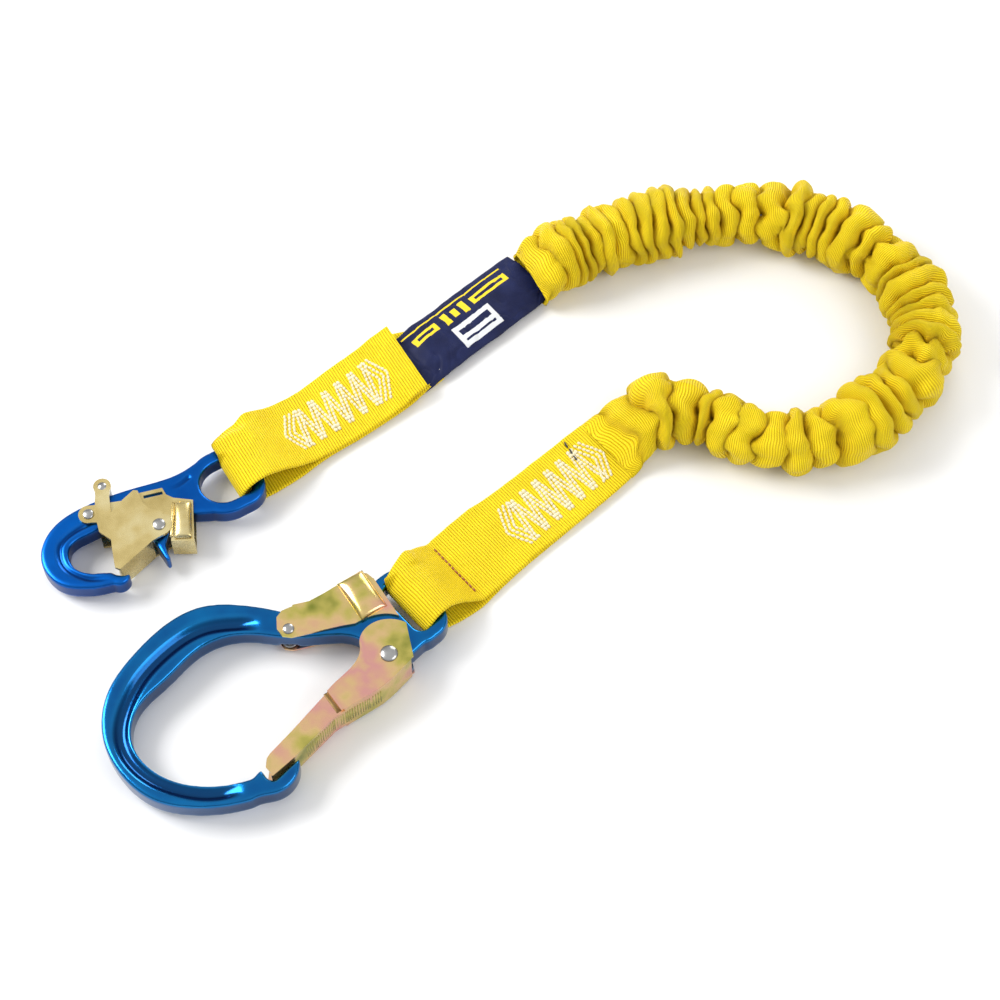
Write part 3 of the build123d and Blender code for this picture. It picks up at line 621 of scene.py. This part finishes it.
def ribbon(name, place, strap, across=40, seed=0.0):
    line = throughPoints(strap["rows"], 0.9)
    half = strap["thickness"] / 2
    barZ = place["origin"].z / mm
    runs = np.linalg.norm(np.diff(line[:, :2], axis=0), axis=1)
    along = np.concatenate([[0], np.cumsum(runs)])
    tangent = np.gradient(line[:, :2], axis=0)
    tangent /= np.linalg.norm(tangent, axis=1)[:, None]
    normal = np.stack([tangent[:, 1], -tangent[:, 0]], axis=1)  # away from the bar all the way round
    rims = 5
    profile = []  # (fraction across, side of the cloth, inset)
    for j in range(across + 1):
        profile.append((j / across, 1.0))
    for j in range(1, rims):
        profile.append((1.0, math.cos(math.pi * j / rims)))
    for j in range(across, -1, -1):
        profile.append((j / across, -1.0))
    for j in range(1, rims):
        profile.append((0.0, -math.cos(math.pi * j / rims)))
    points, uvs, marks = [], [], []
    for i, (s, z, low, high) in enumerate(line):
        topLayer = along[i] > along[np.argmin(line[:, 0])]
        for share, side in profile:
            t = low + (high - low) * share
            rim = half * math.sqrt(max(0.0, 1 - side * side)) * (1 if share > 0.5 else -1)
            wobble = 0.45 * noise.noise(Vector((s / 17 + seed, t / 13, 1.0 if topLayer else 9.0)))
            wobble += 0.18 * noise.noise(Vector((s / 6 + seed, t / 6, 3.0)))
            edge = smooth(abs(share - 0.5), 0.40, 0.5)
            edgeCurl = 0.5 * edge * noise.noise(Vector((s / 8, seed, share * 3)))
            nearBar = 1 - smooth(s, 5, 15)
            riding = smooth(t, *strap["arm"]) * nearBar
            height = z + max(0.0, strap["armTop"] + (2.4 if z > barZ else 0.0) - z) * riding
            droop = smooth(t, strap["arm"][1] + 6.5, strap["arm"][1] + 17) * nearBar * 7.5
            soft = (wobble + edgeCurl) * (0.4 + 0.6 * smooth(s, -4, 20)) * (1 if topLayer else 0.35)
            ds, dz = normal[i] * (side * half + soft)
            squash = 1 - 0.75 * riding  # the fold is thinner where it rides over the arm
            spot = onStrap(place, s + ds, t + rim, max(0.12, height - droop + dz * squash))
            points.append(spot)
            uvs.append((along[i] * mm, (t + 50) * mm))
            # painted shade mark on the lower layer where the fold rides over the arm
            marks.append(0.25 * riding * (0 if z > barZ else 1))
    count = len(profile)
    faces = gridFaces(len(line), count, wrapColumns=True)
    faces.append(tuple(range(count))[::-1])
    faces.append(tuple(range((len(line) - 1) * count, len(line) * count)))
    return meshPiece(name, points, faces, uvs, {"foldShade": marks})


def towardsHook(piece):
    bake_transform(piece)


snapEndStrap = ribbon("snapEndStrap", snapStrapPlace, snapStrap, seed=2.0)
dress(snapEndStrap, yellowWebbing)
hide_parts("snap_end_web")
towardsHook(snapEndStrap)
rebarEndStrap = ribbon("rebarEndStrap", rebarStrapPlace, rebarStrap, seed=6.0)
dress(rebarEndStrap, yellowWebbing)
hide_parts("rebar_end_web")
towardsHook(rebarEndStrap)
print("straps made")

# stitches, each thread turn a bead lying on the top layer


def topHeight(strap, s):
    line = throughPoints(strap["rows"], 0.9)
    bend = int(np.argmin(line[:, 0]))
    top = line[bend:]
    return float(np.interp(s, top[:, 0], top[:, 1])) + strap["thickness"] / 2


def beadRow(start, end, gap=2.5):
    a, b = np.array(start, float), np.array(end, float)
    count = max(1, int(round(np.linalg.norm(b - a) / gap)))
    turn = math.atan2(*(b - a)[::-1])
    return [(*(a + (b - a) * (k + 0.5) / count), turn) for k in range(count)]


def beads(name, place, strap, spots, size, sink=-0.05):
    rings, sides = 7, 8
    points, faces, uvs = [], [], []
    chance = random.Random(len(spots))
    for s, t, turn in spots:
        turn += chance.uniform(-0.12, 0.12)
        s += chance.uniform(-0.15, 0.15)
        t += chance.uniform(-0.15, 0.15)
        base = topHeight(strap, s) - sink
        long, wide, tall = (v * chance.uniform(0.92, 1.08) for v in size)
        start = len(points)
        for i in range(rings):
            lean = math.pi * i / (rings - 1)
            girth = math.sin(lean) ** 0.7
            for j in range(sides):
                spin = 2 * math.pi * j / sides
                x = -math.cos(lean) * long / 2
                y = girth * math.cos(spin) * wide / 2
                z = girth * math.sin(spin) * tall
                ds = x * math.cos(turn) - y * math.sin(turn)
                dt = x * math.sin(turn) + y * math.cos(turn)
                points.append(onStrap(place, s + ds, t + dt, base + z))
                uvs.append(((s + ds) * mm, (t + dt) * mm))
        faces += gridFaces(rings, sides, wrapColumns=True, start=start)
    return meshPiece(name, points, faces, uvs)


def stitchBlock(first, last, lowFirst, highFirst, lowLast, highLast, strokes):
    # arrow heads of three rows at each end, zigzag strokes between them, every stroke a double row
    def low(s):
        return lowFirst + (lowLast - lowFirst) * (s - first) / (last - first)

    def high(s):
        return highFirst + (highLast - highFirst) * (s - first) / (last - first)

    rows = []
    for k in range(3):
        tip = first + 3.1 * k
        middle = (low(tip) + high(tip)) / 2
        rows += beadRow((tip, middle), (tip + 7, high(tip + 7)))
        rows += beadRow((tip, middle), (tip + 7, low(tip + 7)))
        tip = last - 3.1 * k
        middle = (low(tip) + high(tip)) / 2
        rows += beadRow((tip, middle), (tip - 7, high(tip - 7)))
        rows += beadRow((tip, middle), (tip - 7, low(tip - 7)))
    begin, end = first + 10, last - 10
    pitch = (end - begin) / strokes
    for k in range(strokes):
        a, b = begin + k * pitch, begin + (k + 1) * pitch
        up = k % 2 == 0
        for shift in (0.0, 2.3):
            startT, endT = (low(a) + 0.5, high(b) - 0.5) if up else (high(a) - 0.5, low(b) + 0.5)
            rows += beadRow((a + shift - 1, startT), (b + shift - 1, endT))
    return rows


# where each block starts and ends along the strap, its edges there, and the zigzag's strokes
snapStitches = {"first": 28.5, "last": 102, "lowFirst": -1.5, "highFirst": 24.5,
                "lowLast": 5.5, "highLast": 37.5, "strokes": 11}
rebarStitches = {"first": 66.5, "last": 144, "lowFirst": -10.5, "highFirst": 19.5,
                 "lowLast": -6.5, "highLast": 23.5, "strokes": 12}
thickThread = (2.5, 1.75, 0.85)  # a bead's length, width and height
redThreadBead = (2.7, 0.95, 0.7)
blackThreadBead = (4.5, 1.1, 0.75)
snapBeads = beads("snapEndStitches", snapStrapPlace, snapStrap, stitchBlock(**snapStitches), thickThread)
rebarBeads = beads("rebarEndStitches", rebarStrapPlace, rebarStrap, stitchBlock(**rebarStitches), thickThread)
redRow = beads("redTack", rebarStrapPlace, rebarStrap, beadRow((28.2, 23.5), (28.2, -12.5), 2.9),
               redThreadBead, -0.35)
blackRow = beads("blackTack", rebarStrapPlace, rebarStrap, beadRow((131.5, 28.6), (128.6, 13.0), 4.6),
                 blackThreadBead, -0.5)
for piece, finish, slotName, nodeName in (
    (snapBeads, creamThread, "thread_cream", "snap_end_stitching"),
    (rebarBeads, creamThread, "thread_cream", "rebar_end_stitching"),
    (redRow, redThread, "thread_red", "red_tack_row"),
    (blackRow, blackThread, "thread_black", "black_tack_row"),
):
    dress(piece, finish)
    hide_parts(nodeName)
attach(snapBeads, "lanyard")
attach(redRow, "lanyard")
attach(rebarBeads, "lanyard")
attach(blackRow, "lanyard")
print("stitches made")

# the label sleeve and the strap inside it

sleeve = {
    "start": (-56.4, 87.6), "heading": 42.0, "first": -9.0, "last": 91.0, "width": 40.0, "height": 10.0,
    "patch": (28.0, 57.0, -15.5, -0.5),
    "bars": [(2, 80, 14.6, 15.7), (6, 24, 4.5, 10.5), (29, 33, 3.0, 12.0), (36, 40, 4.5, 10.5),
             (43, 47, 3.0, 12.0), (51, 79, 4.5, 10.5)],
    "blanks": [(9, 21, 6.4, 8.6), (54, 76, 6.4, 8.6)],
    "bandYellow": (0.86, 0.63, 0.03),
    "patchGrey": (0.70, 0.72, 0.74),
    "navy": [(0.3, (0.006, 0.009, 0.042)), (0.75, (0.014, 0.021, 0.085))],
}


def onSleeve(x, t, z):
    turn = math.radians(sleeve["heading"])
    return Vector(((sleeve["start"][0] + x * math.cos(turn) - t * math.sin(turn)) * mm,
                   (sleeve["start"][1] + x * math.sin(turn) + t * math.cos(turn)) * mm, z * mm))


def sleeveShell():
    rows, around = 120, 96
    points, uvs, marks = [], [], []
    for i in range(rows + 1):
        x = sleeve["first"] + (sleeve["last"] - sleeve["first"]) * i / rows
        tall = sleeve["height"] * (0.52 + 0.48 * smooth(x, -9, 16)) / 2
        wide = sleeve["width"] / 2 + 0.8 * noise.noise(Vector((x / 20, 4, 0)))
        for j in range(around):
            angle = 2 * math.pi * j / around
            c, s = math.cos(angle), math.sin(angle)
            t = wide * math.copysign(abs(c) ** 0.62, c)
            z = tall + tall * math.copysign(abs(s) ** 0.75, s) * (0.55 + 0.45 * (1 - (t / wide) ** 2))
            if s > 0:
                crumple = 1.0 * noise.noise(Vector((x / 15, t / 11, 2.0)))
                crumple += 0.55 * noise.noise(Vector((x / 6 + t / 9, t / 7, 5.0)))
                lines = abs(noise.noise(Vector((x / 13 - t / 16, t / 15 + x / 30, 8.0))))
                z += crumple * s - 0.9 * s * (1 - smooth(lines, 0.0, 0.10))
            t += 0.5 * noise.noise(Vector((x / 9, 3.0 * math.copysign(1, c), 11.0)))
            points.append(onSleeve(x, t, max(0.15, z)))
            uvs.append((x * mm, t * mm))
            marks.append(1.0 if s > 0.15 else 0.0)
    faces = gridFaces(rows + 1, around, wrapColumns=True)
    inner = len(points)
    for i in (0, rows):
        middle = sum((Vector(points[i * around + j]) for j in range(around)), Vector()) / around
        for j in range(around):
            p = Vector(points[i * around + j])
            points.append(middle + (p - middle) * 0.94)
            uvs.append(uvs[i * around + j])
            marks.append(0.0)
    for turnBack, i in enumerate((0, rows)):
        for j in range(around):
            k = (j + 1) % around
            back = inner + turnBack * around
            quad = (i * around + j, i * around + k, back + k, back + j)
            faces.append(quad[::-1] if i == 0 else quad)
    return meshPiece("labelSleeve", points, faces, uvs, {"topSide": marks})


def sleeveFinish():
    finish, shader = newFinish("navySleeve")
    place = node(finish, "ShaderNodeUVMap", uv_map="cloth").outputs["UV"]
    split = node(finish, "ShaderNodeSeparateXYZ")
    join(finish, place, split.inputs[0])
    x, t = split.outputs["X"], split.outputs["Y"]

    def between(value, low, high):
        above = sums(finish, "GREATER_THAN", value, low * mm)
        return sums(finish, "MULTIPLY", above, sums(finish, "LESS_THAN", value, high * mm))

    def bar(x0, x1, t0, t1):
        return sums(finish, "MULTIPLY", between(x, x0, x1), between(t, t0, t1))

    def either(bars):
        masks = [bar(*sizes) for sizes in bars]
        total = masks[0]
        for mask in masks[1:]:
            total = sums(finish, "MAXIMUM", total, mask)
        return total

    fabric = ramp(finish, cloud(finish, 70, 4), sleeve["navy"])
    top = node(finish, "ShaderNodeAttribute", attribute_name="topSide").outputs["Fac"]
    yellowBars = sums(finish, "SUBTRACT", either(sleeve["bars"]), either(sleeve["blanks"]), clamp=True)
    x0, x1, t0, t1 = sleeve["patch"]
    patch = bar(x0, x1, t0, t1)
    for slit in ((x0 + 3, x1 - 3, t0 + 3.2, t0 + 4.6), (x0 + 3, x1 - 3, t1 - 7.4, t1 - 3.2)):
        patch = sums(finish, "SUBTRACT", patch, bar(*slit), clamp=True)
    colour = mixColour(finish, sums(finish, "MULTIPLY", yellowBars, top), fabric, sleeve["bandYellow"])
    colour = mixColour(finish, sums(finish, "MULTIPLY", patch, top), colour, sleeve["patchGrey"])
    join(finish, colour, shader.inputs["Base Color"])
    shader.inputs["Roughness"].default_value = 0.5
    shader.inputs["Specular IOR Level"].default_value = 0.16
    shader.inputs["Sheen Weight"].default_value = 0.02
    weave = node(finish, "ShaderNodeTexChecker")
    weave.inputs["Scale"].default_value = 1600
    join(finish, place, weave.inputs["Vector"])
    bump(finish, shader, sums(finish, "ADD", weave.outputs["Fac"], cloud(finish, 300, 3)), 0.07 * mm, 0.6)
    return finish


navySleeve = sleeveFinish()
labelSleeve = dress(sleeveShell(), navySleeve)
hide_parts("label_sleeve")
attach(labelSleeve, "lanyard")

leaves = {"length": (6, 76), "half": 15.0, "heights": (4.3, 5.0, 5.7)}


def leafSheets():
    points, faces, uvs = [], [], []
    for height in leaves["heights"]:
        for side in (0.2, -0.2):
            start = len(points)
            for x in np.linspace(*leaves["length"], 24):
                for t in np.linspace(-leaves["half"], leaves["half"], 9):
                    ripple = 0.12 * noise.noise(Vector((x / 12, t / 9, height)))
                    points.append(onSleeve(x, t, height + side + ripple))
                    uvs.append((x * mm, t * mm))
            grid = gridFaces(24, 9, start=start)
            faces += grid if side > 0 else [face[::-1] for face in grid]
    return meshPiece("labelLeaves", points, faces, uvs)


labelLeaves = dress(leafSheets(), whiteStrand)
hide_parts("label_leaves")
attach(labelLeaves, "lanyard")
print("sleeve made")

# the hooks: forged bodies with rounded lips, pressed plates with soft edges


def hookPlace(gateName, gateLocal, leverName, leverLocal):
    # the hook's own flat frame, found from its two pivots
    gate, lever = Vector(joints[gateName]["pos_m"]), Vector(joints[leverName]["pos_m"])
    world, local = lever - gate, Vector(leverLocal) - Vector(gateLocal)
    turn = math.atan2(world.y, world.x) - math.atan2(local.y, local.x)
    along = Vector((math.cos(turn), math.sin(turn), 0))
    across = Vector((-math.sin(turn), math.cos(turn), 0))
    origin = gate - (along * gateLocal[0] + across * gateLocal[1]) * mm
    return {"origin": origin, "along": along, "across": across}


def onHook(place, x, y, z=0.0):
    return place["origin"] + (place["along"] * x + place["across"] * y) * mm + Vector((0, 0, z * mm))


snapHookPlace = hookPlace("snap_gate_open", (45.5, 13.0), "snap_lock_press", (76.5, -14.5))
rebarHookPlace = hookPlace("rebar_gate_open", (1.5, 5.5), "rebar_lock_press", (48.0, -29.0))

snapForging = {
    # cast is the CAD groove's line; each channel is a line, its half width and its depth
    "voxel": 0.62, "smoothing": 9, "half": 6.0,
    "cast": [(80, -12.5), (93, -11.5), (103.5, -3), (104.8, 8), (99, 18.5), (89, 24.8)],
    "channels": [([(72, -9.4), (88, -9.6), (98, -6), (102.4, 2), (102, 11), (96, 20.3), (89, 25.2),
                   (82.5, 28)], 1.5, 1.0),
                 ([(17, -8), (24, -6.5), (31, -7.5)], 1.3, 0.7)],
}
rebarForging = {
    "voxel": 0.75, "smoothing": 16, "half": 7.0,
    "cast": [(74, -45), (92, -49), (112, -44), (136, -29), (151, -8), (152.5, 12), (143, 32), (122, 48.5),
             (99, 53)],
    "channels": [([(60, -36), (72, -42.5), (92, -46.5), (112, -41.5), (134, -28), (149.5, -7), (151.5, 12),
                   (141.5, 31), (121, 46.3), (97, 52.2)], 3.7, 3.4)],
}


def voxelised(piece, voxel, smoothing):
    remesh = piece.modifiers.new("remesh", "REMESH")
    remesh.mode = "VOXEL"
    remesh.voxel_size = voxel * mm
    relax = piece.modifiers.new("relax", "SMOOTH")
    relax.factor = 0.5
    relax.iterations = smoothing
    bpy.context.view_layer.update()
    shaped = bpy.data.meshes.new_from_object(piece.evaluated_get(bpy.context.evaluated_depsgraph_get()))
    piece.modifiers.clear()
    piece.data = shaped


def inHook(mesh, place):
    # the mesh's points as they stand, and as distances along, across and above the hook
    spots = np.empty(len(mesh.vertices) * 3)
    mesh.vertices.foreach_get("co", spots)
    spots = spots.reshape(-1, 3)
    away = (spots - np.array(place["origin"])) / mm
    return spots, away @ np.array(place["along"]), away @ np.array(place["across"]), away[:, 2]


def forgedBody(name, nodeName, place, forging):
    source = bpy.data.objects[nodeName]
    piece = bpy.data.objects.new(name, source.data.copy())
    bpy.context.scene.collection.objects.link(piece)
    piece.matrix_world = source.matrix_world
    half = forging["half"]

    voxelised(piece, forging["voxel"], 2)  # the plain cast groove is filled first
    spots, x, y, z = inHook(piece.data, place)
    cast = throughPoints(forging["cast"], 1.0)
    aside = np.min([np.hypot(x - a, y - b) for a, b in cast], axis=0)
    lifted = (aside < 4.8) & (np.abs(z) > half - 2.3) & (np.abs(z) < half)
    z = np.where(lifted, np.sign(z) * half, z)
    spots[:, 2] = place["origin"].z + z * mm
    piece.data.vertices.foreach_set("co", spots.ravel())
    piece.data.update()

    voxelised(piece, forging["voxel"], forging["smoothing"])  # then the rounded channels are pressed in
    shaped = piece.data
    spots, x, y, z = inHook(shaped, place)
    count = len(z)
    pressed = np.zeros(count)
    for line, width, depth in forging["channels"]:
        line = throughPoints(line, 1.0)
        near = np.min([np.hypot(x - a, y - b) for a, b in line], axis=0)
        ends = np.ones(count)
        for tip, inward in ((line[0], line[4] - line[0]), (line[-1], line[-5] - line[-1])):
            inward = inward / np.linalg.norm(inward)
            lead = np.clip(((x - tip[0]) * inward[0] + (y - tip[1]) * inward[1]) / 15, 0, 1)
            by = np.hypot(x - tip[0], y - tip[1]) < 17
            ends[by] = (lead * lead * (3 - 2 * lead))[by]
        face = np.clip((np.abs(z) - half * 0.45) / (half * 0.5), 0, 1)
        pressed = np.maximum(pressed, depth * np.exp(-np.abs(near / width) ** 3) * face * ends)
    # painted shade: side walls that face sideways and the pressed channels are marked so their paint is
    # darkened, standing in for shade
    normals = np.empty(count * 3)
    shaped.vertex_normals.foreach_get("vector", normals)
    flank = 1 - np.clip(np.abs(normals.reshape(-1, 3)[:, 2]) / 0.55, 0, 1)
    spots[:, 2] = place["origin"].z + (z - np.sign(z) * pressed) * mm
    shaped.vertices.foreach_set("co", spots.ravel())
    shade = np.maximum(pressed / max(pressed.max(), 0.1) * 0.8, flank * 0.85)
    mark = shaped.attributes.new("paintedShade", "FLOAT", "POINT")
    mark.data.foreach_set("value", shade.astype(np.float32))
    shaped.polygons.foreach_set("use_smooth", [True] * len(shaped.polygons))
    shaped.update()
    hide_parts(nodeName)
    print(name, "has", len(shaped.polygons), "faces")
    return piece


snapForged = forgedBody("snapHookForging", "snap_hook_body", snapHookPlace, snapForging)
dress(snapForged, satinBlue)
rebarForged = forgedBody("rebarHookForging", "rebar_hook_body", rebarHookPlace, rebarForging)
dress(rebarForged, glossBlue)
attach(snapForged, "snap_hook")
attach(rebarForged, "rebar_hook")


def ridge(name, place, body, finish, start, end, width, rise, base):
    # a rounded pressing that stands on a plate, tapered at its ends
    rows, columns = 28, 17
    a, b = np.array(start, float), np.array(end, float)
    across = np.array((-(b - a)[1], (b - a)[0])) / np.linalg.norm(b - a)
    points, uvs = [], []
    for i in range(rows):
        share = i / (rows - 1)
        swell = math.sin(math.pi * share) ** 0.28 if 0 < share < 1 else 0.0
        middle = a + (b - a) * share
        for j in range(columns):
            side = -1 + 2 * j / (columns - 1)
            lift = rise * swell * max(0.0, 1 - abs(side) ** 2.6) ** 0.6
            spot = middle + across * side * width / 2
            points.append(onHook(place, spot[0], spot[1], base + lift))
            uvs.append((share * 0.02, side * 0.01))
    for i in range(rows):
        for j in range(columns):
            spot = points[i * columns + j]
            points.append(Vector((spot.x, spot.y, place["origin"].z + (base - 0.3) * mm)))
            uvs.append(uvs[i * columns + j])
    under = rows * columns
    faces = gridFaces(rows, columns) + [face[::-1] for face in gridFaces(rows, columns, start=under)]
    rim = list(range(columns)) + [i * columns + columns - 1 for i in range(1, rows)]
    rim += [(rows - 1) * columns + j for j in range(columns - 2, -1, -1)]
    rim += [i * columns for i in range(rows - 2, 0, -1)]
    faces += [(k, j, j + under, k + under) for j, k in zip(rim, rim[1:] + rim[:1])]
    piece = dress(meshPiece(name, points, faces, uvs), finish)
    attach(piece, body)
    return piece


# from and to across the plate, then width, rise and the plate's own height
ridge("rebarThumbRidge", rebarHookPlace, "rebar_lock_lever", yellowChromate,
      (0.6, -21.6), (6.4, -47.6), 16.5, 3.4, 8.78)
# painted shade: a thin dark strip along the gate's step, standing in for its shadowed ramp
ridge("rebarGateStepShade", rebarHookPlace, "rebar_gate", paintedStepShade,
      (40.9, 15.2), (37.6, 28.4), 3.4, 0.35, 8.95)
ridge("snapThumbRoll", snapHookPlace, "snap_lock_lever", goldZinc,
      (27.4, 6.6), (37.6, 27.0), 9.6, 2.6, 8.9)
ridge("snapThumbLip", snapHookPlace, "snap_lock_lever", goldZinc,
      (31.6, 3.4), (43.0, 23.0), 2.0, 1.6, 7.78)

gripRibs = {
    "line": [(13, 22.7), (20, 24.4), (34.5, 27.9), (42, 29.9), (55, 36.9), (62, 40.4)],
    "pitch": 1.45,
    "proud": 0.78,
    "radius": 0.32,
    "half": 6.0,
}


def gateGrip():
    # fine upright ribs pressed into the gate's outer web
    points, faces, uvs = [], [], []
    line = throughPoints(gripRibs["line"], gripRibs["pitch"])
    for a, b in zip(line, line[1:]):
        ahead = (b - a) / np.linalg.norm(b - a)
        out = np.array((-ahead[1], ahead[0]))
        start = len(points)
        for height in (-gripRibs["half"], gripRibs["half"]):
            for j in range(8):
                angle = 2 * math.pi * j / 8
                spot = a + out * (gripRibs["proud"] + gripRibs["radius"] * math.cos(angle))
                spot = spot + ahead * gripRibs["radius"] * 1.2 * math.sin(angle)
                points.append(onHook(rebarHookPlace, spot[0], spot[1], height))
                uvs.append((angle * mm, height * mm))
        faces += gridFaces(2, 8, wrapColumns=True, start=start)
        faces.append(tuple(range(start, start + 8))[::-1])
        faces.append(tuple(range(start + 8, start + 16)))
    return meshPiece("rebarGateGrip", points, faces, uvs)


rebarGateGrip = dress(gateGrip(), oliveChromate)
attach(rebarGateGrip, "rebar_gate")

rivets = {  # shank, head, half grip and dome, and the body that carries it
    "snap_gate_rivet": (2.6, 3.8, 9.7, 1.5, "snap_hook"),
    "snap_lock_rivet": (2.4, 3.3, 7.8, 1.4, "snap_hook"),
    "rebar_gate_rivet": (3.6, 5.0, 10.7, 1.9, "rebar_hook"),
    "rebar_lock_rivet": (2.4, 3.3, 8.8, 1.4, "rebar_hook"),
}


def turnedRivet(nodeName, shank, head, grip, dome, body):
    low, high = (Vector(corner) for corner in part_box(nodeName))
    middle = (low + high) / 2
    line = [(0.0, -grip - dome)]
    arc = [(math.sin(a) * head, grip + math.cos(a) * dome) for a in np.linspace(0.12, math.pi / 2, 10)]
    line += [(r, -z) for r, z in arc] + [(shank, -grip + 0.01), (shank, grip - 0.01)] + arc[::-1]
    line.append((0.0, grip + dome))
    sides = 40
    points, uvs = [], []
    for r, z in line:
        for j in range(sides):
            angle = 2 * math.pi * j / sides
            points.append(middle + Vector((r * math.cos(angle), r * math.sin(angle), z)) * mm)
            uvs.append((r * mm, angle * mm))
    piece = dress(meshPiece(nodeName.replace("_", "-") + "-turned", points,
                            gridFaces(len(line), sides, wrapColumns=True), uvs), brightSteel)
    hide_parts(nodeName)
    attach(piece, body)


for nodeName, sizes in rivets.items():
    turnedRivet(nodeName, *sizes)

pressedPlates = {"snap_gate": goldZinc, "snap_lock_lever": goldZinc, "rebar_gate": yellowChromate,
                 "rebar_lock_lever": yellowChromate}
for name, finish in pressedPlates.items():
    edge = dress(name, finish).modifiers.new("edge", "BEVEL")
    edge.width = 0.35 * mm
    edge.segments = 3
    edge.limit_method = "ANGLE"
    edge.angle_limit = math.radians(35)
dress("snap_stop_pin", brightSteel)
for name in ("snap_gate_spring", "snap_lock_spring", "rebar_gate_spring", "rebar_lock_spring"):
    dress(name, springSteel)
print("hooks dressed")
